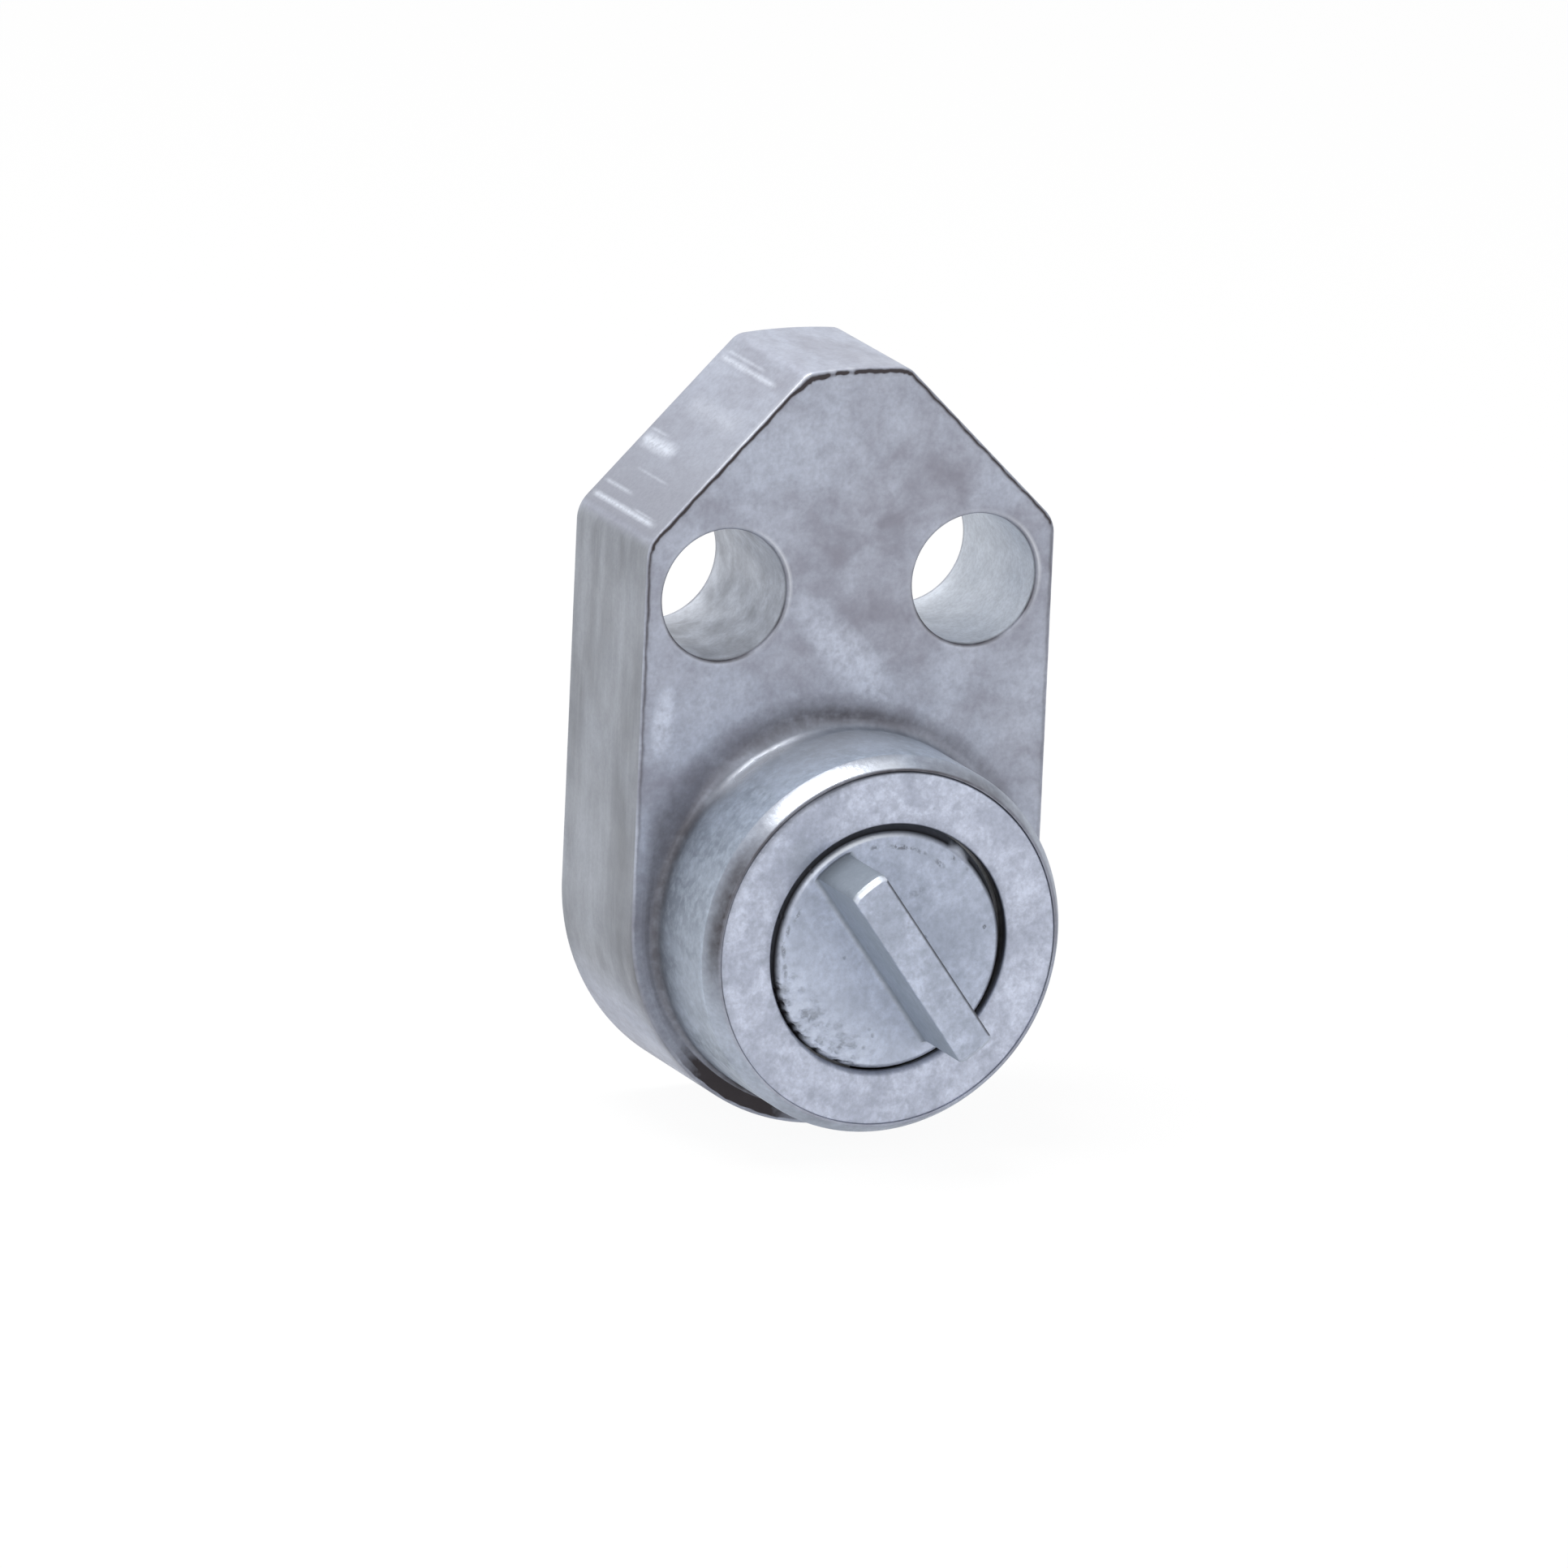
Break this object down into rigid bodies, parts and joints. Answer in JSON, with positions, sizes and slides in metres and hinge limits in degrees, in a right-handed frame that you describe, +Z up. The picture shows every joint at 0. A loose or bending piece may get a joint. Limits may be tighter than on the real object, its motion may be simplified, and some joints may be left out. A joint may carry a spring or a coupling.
{
  "type": "oval lock cylinder",
  "caption": "Lock cylinder on a thick plate with a round foot and sloping top: fixing holes, a round boss, and a turning plug whose tongue drives the lock.",
  "frame": {"origin": "on the axis of the round boss, in the plane of the plate's inner face", "axes": "+Z up along the plate, -Y out of the boss towards the lock, +Y towards the key side"},
  "size_m": [0.032, 0.0287, 0.0561],
  "materials": {
    "casting": "bare die casting, matt, with faint flow marks",
    "core_metal": "fine matt casting, machined on its round faces",
    "driver_metal": "bare die casting, fine grained",
    "plug_metal": "nickel plated, satin",
    "key_pin_metal": "turned, bright",
    "driver_pin_metal": "turned, bright",
    "spring_wire": "drawn wire, bright",
    "spring_steel": "hardened, oiled",
    "screw_steel": "blackened"
  },
  "bodies": {
    "casing": {"housing": "casting", "core": "core_metal", "driver_ring": "spring_steel", "core_screw": "screw_steel", "guard_pin_left": "spring_steel", "guard_pin_right": "spring_steel", "pin_spring_1": "spring_wire", "pin_spring_2": "spring_wire", "pin_spring_3": "spring_wire", "pin_spring_4": "spring_wire", "pin_spring_5": "spring_wire"},
    "plug": {"plug": "plug_metal", "driver": "driver_metal", "plug_clip": "spring_steel"},
    "key_pin_1": {"key_pin_1": "key_pin_metal"},
    "driver_pin_1": {"driver_pin_1": "driver_pin_metal"},
    "key_pin_2": {"key_pin_2": "key_pin_metal"},
    "driver_pin_2": {"driver_pin_2": "driver_pin_metal"},
    "key_pin_3": {"key_pin_3": "key_pin_metal"},
    "driver_pin_3": {"driver_pin_3": "driver_pin_metal"},
    "key_pin_4": {"key_pin_4": "key_pin_metal"},
    "driver_pin_4": {"driver_pin_4": "driver_pin_metal"},
    "key_pin_5": {"key_pin_5": "key_pin_metal"},
    "driver_pin_5": {"driver_pin_5": "driver_pin_metal"}
  },
  "joints": [
    {"name": "plug_turn", "type": "hinge", "parent": "casing", "child": "plug", "pos_m": [0, 0, 0], "axis": [0, -1, 0], "continuous": true},
    {"name": "key_pin_1_drop", "type": "slide", "parent": "plug", "child": "key_pin_1", "axis": [0, 0, 1], "range_m": [-0.0022, 0]},
    {"name": "key_pin_2_drop", "type": "slide", "parent": "plug", "child": "key_pin_2", "axis": [0, 0, 1], "range_m": [-0.0014, 0]},
    {"name": "key_pin_3_drop", "type": "slide", "parent": "plug", "child": "key_pin_3", "axis": [0, 0, 1], "range_m": [-0.0026, 0]},
    {"name": "key_pin_4_drop", "type": "slide", "parent": "plug", "child": "key_pin_4", "axis": [0, 0, 1], "range_m": [-0.001, 0]},
    {"name": "key_pin_5_drop", "type": "slide", "parent": "plug", "child": "key_pin_5", "axis": [0, 0, 1], "range_m": [-0.0018, 0]},
    {"name": "driver_pin_1_lift", "type": "slide", "parent": "casing", "child": "driver_pin_1", "axis": [0, 0, 1], "range_m": [0, 0.0015], "stiffness_N_per_m": 80, "springref_m": -0.002, "deforming": ["pin_spring_1"]},
    {"name": "driver_pin_2_lift", "type": "slide", "parent": "casing", "child": "driver_pin_2", "axis": [0, 0, 1], "range_m": [0, 0.0015], "stiffness_N_per_m": 80, "springref_m": -0.002, "deforming": ["pin_spring_2"]},
    {"name": "driver_pin_3_lift", "type": "slide", "parent": "casing", "child": "driver_pin_3", "axis": [0, 0, 1], "range_m": [0, 0.0015], "stiffness_N_per_m": 80, "springref_m": -0.002, "deforming": ["pin_spring_3"]},
    {"name": "driver_pin_4_lift", "type": "slide", "parent": "casing", "child": "driver_pin_4", "axis": [0, 0, 1], "range_m": [0, 0.0015], "stiffness_N_per_m": 80, "springref_m": -0.002, "deforming": ["pin_spring_4"]},
    {"name": "driver_pin_5_lift", "type": "slide", "parent": "casing", "child": "driver_pin_5", "axis": [0, 0, 1], "range_m": [0, 0.0015], "stiffness_N_per_m": 80, "springref_m": -0.002, "deforming": ["pin_spring_5"]}
  ]
}
